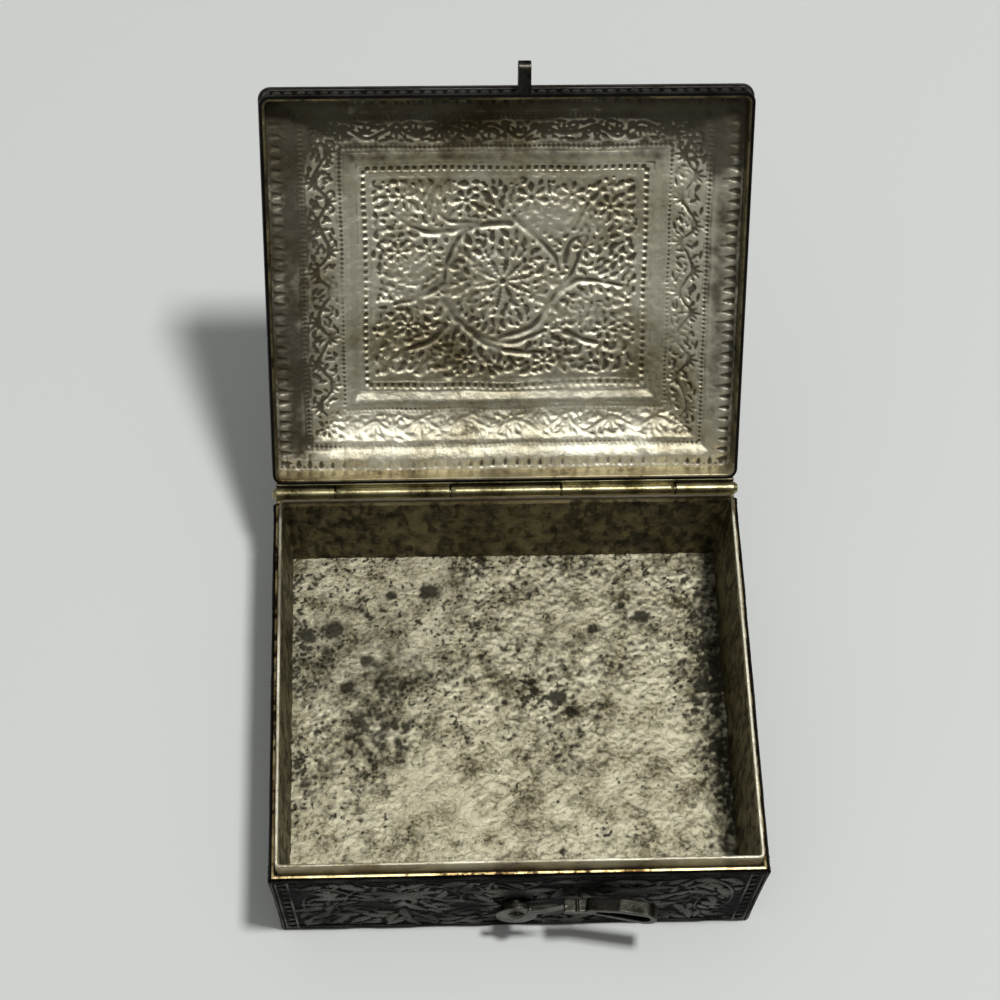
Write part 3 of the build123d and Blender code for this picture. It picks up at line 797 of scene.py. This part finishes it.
def makeInnerBand():
    form = bandForm
    rows = form["rows"]
    heights = np.concatenate([
        np.linspace(form["top"], form["gap"] + 0.08, rows), [form["gap"], form["gap"], form["top"]]])
    inset = np.concatenate([
        np.full(rows, form["inner"]), [form["inner"] - 0.1, form["outer"], form["outer"]]])
    mesh = meshFrom("lidInnerBand", bandGrid(form["segments"], rows + 3))
    way, ring = readBand(mesh)
    x, y, normal, _ = roundedOutline(way, halfWidth, halfDepth, lidForm["corner"])
    wander = softNoise((60, 1400), 14, 31)[ring, (way * 1399).astype(int)]
    out = -inset[ring] + np.where(ring < rows - 1, 0.05 * np.clip(wander, -1.5, 1.5), 0)
    x, y = x + out * np.cos(normal), y + out * np.sin(normal)
    # The side by the hinge is painted light with the beige finish, and the other three sides are painted
    # shade with the dull olive one and more of its dark colour
    litByHinge = eased(y, 36, 39)
    for face in mesh.polygons:
        face.material_index = int(all(litByHinge[v] > 0.5 for v in face.vertices))
    placePiece("lidInnerBand", mesh, np.stack([x, y, boxForm["ledge"] + heights[ring]], axis=1),
               np.clip(0.6 - 0.4 * litByHinge + 0.3 * wander, 0, 1),
               (dullOliveSilver, rubbedBeigeSilver), "lid", ("lid_inner_band",),
               turn=openTurn)


makeInnerBand()


# Walls: leaves and palmettes on a blackened ground, framed by lines and a hatched strip
wallChasing = {
    "height": 0.42,
    "stripStart": 1.3,
    "stripEnd": 3.0,
    "hatchPitch": 1.15,
    "field": 3.7,
    "palmetteLobes": (pi * 0.98, pi * 1.14, pi * 1.32, pi * 1.5, pi * 1.68, pi * 1.86, pi * 2.02),
    "lobeLengths": (7.6, 6.6, 5.0, 3.6, 5.0, 6.6, 7.6),
    # distance from a palmette's middle or a wall's end, share of the wall's height
    "palmetteStem": ((0, 0.73), (5, 0.86), (10, 0.74), (11.5, 0.5), (8.5, 0.3), (4.5, 0.32)),
    "endCurl": ((15, 0.72), (10, 0.84), (6.2, 0.68), (5.6, 0.42), (8.5, 0.22), (12, 0.3), (11.5, 0.52),
                (9.5, 0.5)),
    "levelLines": (0.75, 1.6),
    "lineWidth": 0.17,
    "tries": 1500,
    "fill": ((5.4, 2.9), (4.4, 2.4), (3.4, 2.0), (2.6, 1.6), (1.8, 1.2)),
    "chamfer": 0.55,
}


def chaseWall(halfLength, height, palmettes, seed):
    form = wallChasing
    canvas = Chasing(halfLength + 0.3, 0, height)
    deep = form["height"]
    for centre in palmettes:
        root = (centre, height * 0.72)
        for angle, length in zip(form["palmetteLobes"], form["lobeLengths"]):
            canvas.leaf(*root, angle, length, 3.1, deep, vein=0.6, full=1.15)
        for side in (-1, 1):
            stem = [(centre + side * s, height * h) for s, h in form["palmetteStem"]]
            canvas.stem(stem, 0.7, deep * 0.6, taper=0.4)
    for side in (-1, 1):
        curl = [(side * (halfLength - s), height * h) for s, h in form["endCurl"]]
        canvas.stem(curl, 0.8, deep * 0.7, taper=0.4)
        for i in range(int(height / form["hatchPitch"]) - 2):
            along = 1.9 + form["hatchPitch"] * i
            lean = 0.6 if i % 2 else -0.6
            start = (side * (halfLength - form["stripStart"] - 0.15), along)
            end = (side * (halfLength - form["stripEnd"] + 0.15), along + lean)
            canvas.stem((start, end), 0.42, deep * 0.9)

    def inside(x, z):
        return abs(x) < halfLength - form["field"] - 0.2 and 2.2 < z < height - 2.2

    def flow(x, z):
        nearest = min(palmettes, key=lambda c: abs(c - x))
        return atan2(z - height * 0.6, x - nearest) + 0.8 * sin(0.3 * x)

    canvas.fill(form["fill"], deep, seed, inside, flow, form["tries"], vein=0.6, crowd=0.2)
    gx, gz = canvas.grid()
    fromEdge = np.minimum(halfLength - np.abs(gx), np.minimum(gz, height - gz))
    fromEnd = halfLength - np.abs(gx)
    fromTop = np.minimum(gz, height - gz)
    upright = np.zeros_like(gx)
    for inset in (form["stripStart"] - 0.25, form["stripEnd"] + 0.3):
        upright = np.maximum(upright, np.exp(-((fromEnd - inset) / form["lineWidth"]) ** 2))
    level = np.zeros_like(gx)
    fainterAbove = np.where(gz < height / 2, 1, 0.45)
    for inset in form["levelLines"]:
        level = np.maximum(level, np.exp(-((fromTop - inset) / form["lineWidth"]) ** 2) * fainterAbove)
    frameLines = np.maximum(upright * (fromTop > 0.7), level * (fromEnd > 0.9))
    canvas.height = np.maximum(canvas.height, deep * frameLines)
    canvas.height = np.maximum(canvas.height, deep * 0.9 * (fromEdge < 0.45))
    ground = 0.035 * np.clip(softNoise(gx.shape, 2.5, seed + 1), -1, 2) * (canvas.height < 0.1)
    force = np.clip(0.85 + 0.25 * softNoise(gx.shape, 25, seed + 2), 0.3, 1.15)
    canvas.height = blurred(canvas.height, 1.1) * force + ground
    canvas.height *= np.clip(fromEdge / 0.35, 0, 1)
    return canvas


def boxHalf(z):
    lean = (boxForm["halfTop"] - boxForm["halfFoot"]) / boxForm["ledge"]
    return boxForm["halfFoot"] + lean * np.minimum(z, boxForm["ledge"])


# A wall, chased outside; its back is marked by a depth of 1, and its ends are mitred
def makeWall(name, node, along, toward, cell, canvas):
    halfLength = halfWidth if along == "x" else halfDepth
    height, sheet = boxForm["ledge"], boxForm["wallSheet"]
    mesh = slabMesh(name, halfLength, height / 2, cell, 1, middleY=height / 2)
    points = readPoints(mesh)
    a, z, inner = points[:, 0], points[:, 1], points[:, 2] > 0.5
    chamfer = wallChasing["chamfer"]
    drawn = np.where(inner, sheet, np.clip(z - height + chamfer, 0, chamfer))
    relief = np.where(inner, 0, canvas.read(a, z) * (1 - np.clip(drawn / chamfer, 0, 1)))
    half = boxHalf(z)
    if along == "x":
        x, y = a / halfLength * (half - drawn), toward * (halfDepth - drawn + relief)
    else:
        x, y = toward * (half - drawn + relief), a / halfLength * (halfDepth - drawn)
    for face in mesh.polygons:
        upper = all(inner[v] or z[v] > height - 0.01 for v in face.vertices)
        if upper and face.center.y > height - 0.01:
            face.material_index = 1
    worn = np.where(inner, 1, np.clip(relief / wallChasing["height"], 0, 1))
    placePiece(name, mesh, np.stack([x, y, z], axis=1), worn,
               (oxidisedChasedSilver, lidRubbedSilver), "box", (node,))


frontChasing = chaseWall(halfWidth, boxForm["ledge"], (-22.5, 0, 22.5), 41)
sideChasing = chaseWall(halfDepth, boxForm["ledge"], (-17, 17), 47)
makeWall("chasedFrontWall", "front_wall", "x", -1, 0.2, frontChasing)
makeWall("chasedBackWall", "back_wall", "x", 1, 0.25, frontChasing)
makeWall("chasedLeftWall", "left_wall", "y", -1, 0.25, sideChasing)
makeWall("chasedRightWall", "right_wall", "y", 1, 0.25, sideChasing)
print("walls chased")


# Liner: rough inside, rubbed where it stands up as the bezel
linerForm = {"corner": 1.0, "segments": 1000, "rows": 76, "roughness": 0.07, "edge": 0.12}


def makeLiner():
    form = linerForm
    rows, sheet, edge = form["rows"], boxForm["linerSheet"], form["edge"]
    low, ledge, top = boxForm["floor"], boxForm["ledge"], boxForm["bezelTop"]
    heights = np.concatenate([
        np.linspace(low, top - edge, rows), [top, top, top - edge],
        np.linspace(top - 2 * edge, ledge, 12), [low]])
    inset = np.concatenate([np.full(rows, sheet), [sheet - edge, edge], np.zeros(14)])
    mesh = meshFrom("roughLiner", bandGrid(form["segments"], len(heights)))
    way, ring = readBand(mesh)
    z = heights[ring]
    halfX = boxForm["halfTop"] - boxForm["wallSheet"]
    x, y, normal, _ = roundedOutline(way, halfX, halfDepth - boxForm["wallSheet"], form["corner"])
    unrolled = (200, 2400)
    rough = softNoise(unrolled, 3.2, 51) + 0.5 * softNoise(unrolled, 1.4, 52)
    rough = rough[ring, (way * 2399).astype(int)]
    inner = ring < rows - 1
    calmer = np.clip((top - 0.6 - z) / 2, 0.15, 1)
    out = -inset[ring] + np.where(inner, form["roughness"] * np.clip(rough, -2, 2) * calmer, 0)
    x, y = x + out * np.cos(normal), y + out * np.sin(normal)
    x = x * (boxHalf(z) - boxForm["wallSheet"]) / halfX
    for face in mesh.polygons:
        rings = [ring[v] for v in face.vertices]
        onTop = min(rings) >= rows - 2 and max(rings) < rows + 3
        face.material_index = 0 if max(rings) < rows - 6 else 2 if onTop else 1
    # The back of the bezel is painted dark as shade under the open lid, and darker toward its left end; this
    # painted shade goes into worn on its top
    bezelShade = np.maximum(eased(y, 30, 37), 0.8 * eased(-x, 30, 40) * eased(y, -10, 15))
    worn = np.maximum(np.clip(0.5 + 0.35 * rough, 0, 1), bezelShade * (z > top - 1))
    placePiece("roughLiner", mesh, np.stack([x, y, z], axis=1), np.where(inner, worn, bezelShade),
               (dullOliveSilver, rubbedBeigeSilver, satinTarnishedSilver), "box",
               ("liner",))


makeLiner()


# Floor: rows of long hammer dents that run up to the right, deepest past the middle
floorForm = {
    "cell": 0.272, "dentPitch": 3.0, "rowPitch": 2.3, "dentAngle": radians(38),
    "dentLength": 1.4, "dentWidth": 0.7, "dentDepth": 0.15, "pitDepth": 0.08,
    # x, y and radius of the larger stains
    "stains": ((-36, 22, 2.4), (-41, 21, 1.8), (-16, 31, 2.0), (-24, 30, 1.2), (17.5, 21, 1.5),
               (29, 24, 1.9), (10, 6, 2.2), (12.5, 3, 1.4), (-33, 9, 1.3), (-29, 15, 1.2), (40, 8, 1.6),
               (42, -6, 1.5), (-18, -24, 1.4), (-40, -35, 1.6), (34, -33, 1.3), (3, -37, 1.5)),
}


def makeFloor():
    form = floorForm
    halfX = float(boxHalf(np.array(boxForm["floor"]))) - boxForm["wallSheet"]
    halfY = halfDepth - boxForm["wallSheet"]
    canvas = Chasing(halfX + 0.5, -halfY - 0.5, halfY + 0.5, step=0.12)
    rng = np.random.default_rng(61)
    c, s = cos(form["dentAngle"]), sin(form["dentAngle"])
    for i in range(-32, 33):
        for j in range(-32, 33):
            a = form["dentPitch"] * (i + 0.5 * (j % 2)) + rng.normal(0, 0.35)
            b = form["rowPitch"] * j + rng.normal(0, 0.22)
            x, y, size = a * c - b * s, a * s + b * c, rng.uniform(0.4, 1.1)
            if abs(x) < halfX and abs(y) < halfY:
                where, dx, dy = canvas.window(x, y, 3.2)
                along, across = dx * c + dy * s, dy * c - dx * s
                reach = (along / form["dentLength"]) ** 2 + (across / form["dentWidth"]) ** 2
                canvas.height[where] += size * np.exp(-reach)
    gx, gy = canvas.grid()
    strength = np.clip(0.62 + 0.4 * np.tanh((gx + 8) / 14) - 0.25 * np.tanh((gy - 14) / 12), 0.2, 1.05)
    shape = canvas.height.shape
    strength *= np.clip(0.85 + 0.25 * softNoise(shape, 60, 62), 0.3, 1.3)
    pits = (softNoise(shape, 2.7, 63) + 0.6 * softNoise(shape, 1.7, 64)) * np.clip(strength + 0.1, 0.35, 1)
    warp = 0.06 * softNoise(shape, 40, 65)
    canvas.height = form["dentDepth"] * strength * canvas.height + form["pitDepth"] * pits + warp
    canvas.height -= canvas.height.mean()
    # Corrosion: stains, and specks that crowd the upper left and the edges; and painted shadow of the right
    # wall along the right edge
    ragged = 0.7 * softNoise(shape, 7, 66) + 0.5 * softNoise(shape, 2, 69)
    stain = np.zeros(shape)
    for x, y, radius in form["stains"]:
        near = np.hypot(gx - x, (gy - y) * 1.25) / radius + 0.35 * ragged
        stain = np.maximum(stain, 1 - eased(near, 0.1, 1.5))
    fromEdge = np.minimum(halfX - np.abs(gx), halfY - np.abs(gy))
    farLeft = eased(-gx + gy, 0, 62)
    crowding = (0.75 * farLeft + 0.6 * (1 - eased(fromEdge, 0, 7)) + 0.4 * eased(gx, 25, 42)
                + 0.3 * softNoise(shape, 50, 67))
    specks = eased(softNoise(shape, 1.5, 68) + 0.6 * ragged + 1.2 * crowding, 1.7, 3.2)
    # Painted shadow within 10 mm of the right wall, darker toward the upper left, and ragged patches
    shaded = 0.3 * farLeft + 0.5 * (1 - eased(halfX - gx, 2, 10)) + 0.1 * ragged
    corrosionAndShade = canvas.overlay(np.maximum(0.8 * stain, 0.8 * specks) + shaded)
    mesh = slabMesh("hammeredFloor", halfX, halfY, form["cell"], -boxForm["baseSheet"])
    points = readPoints(mesh)
    relief = canvas.read(points[:, 0], points[:, 1])
    top = points[:, 2] > -0.5
    points[:, 2] += boxForm["floor"] + np.where(top, -relief, 0)
    # worn here also carries the painted shadow along the right edge
    worn = np.clip(0.3 + 2.0 * relief + corrosionAndShade.read(points[:, 0], points[:, 1]), 0, 1)
    placePiece("hammeredFloor", mesh, points, np.where(top, worn, 0),
               (pittedMottledSilver,), "box", ("base_plate",))


makeFloor()


# Hinge: lengths of tube with rounded ends on a peened pin
hingeForm = {
    "tubeRadius": 1.3, "boreOnPin": 0.6, "boreTurning": 0.65, "endRound": 0.14, "steps": 56,
    "pinRadius": 0.6, "headRadius": 1.0, "headLength": 0.5, "wander": 0.02,
}


# A profile of (x, radius) points spun about the hinge axis
def spunPiece(name, profile, closed, finish, body, node):
    bm = bmesh.new()
    verts = [bm.verts.new((x, hinge.y + r, hinge.z)) for x, r in profile]
    pairs = list(zip(verts, verts[1:])) + ([(verts[-1], verts[0])] if closed else [])
    edges = [bm.edges.new(pair) for pair in pairs]
    bmesh.ops.spin(bm, geom=verts + edges, cent=hinge, axis=(1, 0, 0), angle=2 * pi,
                   steps=hingeForm["steps"], use_merge=True)
    bmesh.ops.remove_doubles(bm, verts=bm.verts, dist=1e-4)
    mesh = meshFrom(name, bm)
    points = readPoints(mesh)
    placePiece(name, mesh, points, np.zeros(len(points)), (finish,), body, (node,), sharp=40)


def makeKnuckle(name, node, body, bore):
    form = hingeForm
    low, high = nodeBox(node)
    start, end, bevel = low.x, high.x, form["endRound"]
    rng = np.random.default_rng(len(name))
    crest = np.linspace(start + bevel, end - bevel, 24)
    fade = np.clip(np.minimum(crest - start, end - crest), 0, 1)
    wander = form["wander"] * np.sin(crest * 0.9 + rng.uniform(0, 6)) * fade
    outer = [(x, form["tubeRadius"] - form["wander"] + w) for x, w in zip(crest, wander)]
    shoulder = form["tubeRadius"] - bevel
    profile = [(start, bore), (start, shoulder), *outer, (end, shoulder), (end, bore)]
    spunPiece(name, profile, True, tarnishedTubeBrass, body, node)


def makePin():
    tip = nodeBox("hinge_pin")[1].x
    head, neck = hingeForm["headRadius"], tip - hingeForm["headLength"]
    end = [(tip, 0), (tip, 0.45), (tip - 0.12, 0.85), (tip - 0.3, head), (neck, head),
           (neck, hingeForm["pinRadius"])]
    spunPiece("peenedHingePin", end + [(-x, r) for x, r in reversed(end)], False, tarnishedTubeBrass,
              "box", "hinge_pin")


for side in ("left", "centre", "right"):
    makeKnuckle(side + "BoxKnuckle", side + "_box_knuckle", "box", hingeForm["boreOnPin"])
for side in ("left", "right"):
    makeKnuckle(side + "LidKnuckle", side + "_lid_knuckle", "lid", hingeForm["boreTurning"])
makePin()


# Small cast and filed pieces: the CAD shape with its edges worn round
def wornPiece(name, node, voxel, passes, finish, body, shape=None):
    bm = bmesh.new()
    bm.from_mesh(nodes[node].data)
    bmesh.ops.remove_doubles(bm, verts=bm.verts, dist=1e-7)
    rough = bpy.data.meshes.new(name + "Rough")
    bm.to_mesh(rough)
    bm.free()
    block = bpy.data.objects.new(name + "Rough", rough)
    bpy.context.scene.collection.objects.link(block)
    remesh = block.modifiers.new("remesh", "REMESH")
    remesh.mode = "VOXEL"
    remesh.voxel_size = voxel * mm
    smooth = block.modifiers.new("smooth", "SMOOTH")
    smooth.factor = 0.5
    smooth.iterations = passes
    bpy.context.view_layer.update()
    evaluated = block.evaluated_get(bpy.context.evaluated_depsgraph_get())
    mesh = bpy.data.meshes.new_from_object(evaluated)
    mesh.name = name
    bpy.data.objects.remove(block)
    bpy.data.meshes.remove(rough)
    points = readPoints(mesh) / mm
    relief = np.zeros(len(points))
    if shape:
        points, relief = shape(points)
    placePiece(name, mesh, points, relief, (finish,), body, (node,), sharp=60)


# The cove of the lid's bearer is painted black between its knuckles as the shade in the gaps, and left light
# where its knuckles are soldered
def shadeBetweenKnuckles(points):
    low, high = nodeBox("right_lid_knuckle")
    x = np.abs(points[:, 0])
    soldered = eased(x, low.x - 0.2, low.x + 0.2) * (1 - eased(x, high.x - 0.2, high.x + 0.2))
    outside = eased(np.hypot(points[:, 1] - hinge.y, points[:, 2] - hinge.z), 1.8, 2.1)
    return points, (1 - 0.8 * soldered) * (1 - outside) + 0.68 * outside


wornPiece("boxHingeBearer", "box_hinge_bearer", 0.16, 4, rubbedBeigeSilver, "box")
wornPiece("lidHingeBearer", "lid_hinge_bearer", 0.16, 4, tarnishedTubeBrass, "lid",
          shape=shadeBetweenKnuckles)
wornPiece("lidStaple", "lid_staple", 0.08, 5, fingerWornSilver, "lid")
wornPiece("latchCollar", "latch_collar", 0.08, 3, fingerWornSilver, "box")
wornPiece("latchRivet", "latch_rivet", 0.07, 3, fingerWornSilver, "box")
wornPiece("fingerHasp", "hasp", 0.09, 8, fingerWornSilver, "hasp")
print("hinge and latch made")


# Floor of the studio, light and camera

def plainFloor():
    bpy.ops.mesh.primitive_circle_add(
        vertices=96, radius=0.34, fill_type="NGON", location=(0, 0.04, -0.00005))
    plane = bpy.context.object
    plane.name = "paleFloor"
    material = bpy.data.materials.new("matteBoard")
    material.use_nodes = True
    shader = material.node_tree.nodes["Principled BSDF"]
    shader.inputs["Base Color"].default_value = linear("#e0e2df")
    shader.inputs["Roughness"].default_value = 0.9
    shader.inputs["Specular IOR Level"].default_value = 0.2
    plane.data.materials.append(material)


plainFloor()

lights = {
    # place and target in metres, size in metres, power in watts
    "overheadSoftbox": ((0.32, -0.08, 1.5), (0, 0.02, 0.02), 0.17, 15.0),
    "leftWindow": ((-1.3, -1.2, 0.55), (0, 0.05, 0.05), 0.6, 1.2),
}
for name, (place, target, size, power) in lights.items():
    lamp = bpy.data.lights.new(name, "AREA")
    lamp.shape = "SQUARE"
    lamp.size = size
    lamp.energy = power
    holder = bpy.data.objects.new(name, lamp)
    holder.location = place
    holder.rotation_euler = (Vector(target) - Vector(place)).to_track_quat("-Z", "Y").to_euler()
    bpy.context.scene.collection.objects.link(holder)

# Air that is dim near the floor and bright overhead, and brighter from the left
world = bpy.data.worlds.new("studioAir")
world.use_nodes = True
worldTree = world.node_tree
worldTree.nodes["Background"].inputs["Color"].default_value = linear("#f4f6f5")
direction = addNode(worldTree, "ShaderNodeTexCoord").outputs["Generated"]
way = addNode(worldTree, "ShaderNodeSeparateXYZ", {0: direction})
upward = addNode(worldTree, "ShaderNodeMapRange", {0: way.outputs["Z"], 1: 0.0, 2: 1.0})
climb = addNode(worldTree, "ShaderNodeMath", {0: upward.outputs[0], 1: 1.8}, operation="POWER")
lift = addNode(worldTree, "ShaderNodeMapRange", {0: climb.outputs[0], 1: 0.0, 2: 1.0, 3: 0.015, 4: 0.5})
leftward = addNode(worldTree, "ShaderNodeMapRange", {
    0: way.outputs["X"], 1: -1.0, 2: 1.0, 3: 1.4, 4: 0.5})
air = addNode(worldTree, "ShaderNodeMath", {
    0: lift.outputs[0], 1: leftward.outputs[0]}, operation="MULTIPLY")
seen = addNode(worldTree, "ShaderNodeLightPath").outputs["Is Camera Ray"]
strength = addNode(worldTree, "ShaderNodeMix", {0: seen, 2: air.outputs[0], 3: 0.66})
worldTree.links.new(strength.outputs[0], worldTree.nodes["Background"].inputs["Strength"])
bpy.context.scene.world = world

cameraFit = {"lens": 91.93, "place": (-0.02174, -0.21827, 0.47955), "turn": (29.774, -1.541, -1.829)}
camera = bpy.data.cameras.new("camera")
camera.lens = cameraFit["lens"]
camera.sensor_width = 36.0
camera.clip_start = 0.01
cameraHolder = bpy.data.objects.new("camera", camera)
cameraHolder.location = cameraFit["place"]
cameraHolder.rotation_euler = [radians(a) for a in cameraFit["turn"]]
bpy.context.scene.collection.objects.link(cameraHolder)
bpy.context.scene.camera = cameraHolder
bpy.context.scene.view_settings.view_transform = "Standard"
print("lights and camera set")
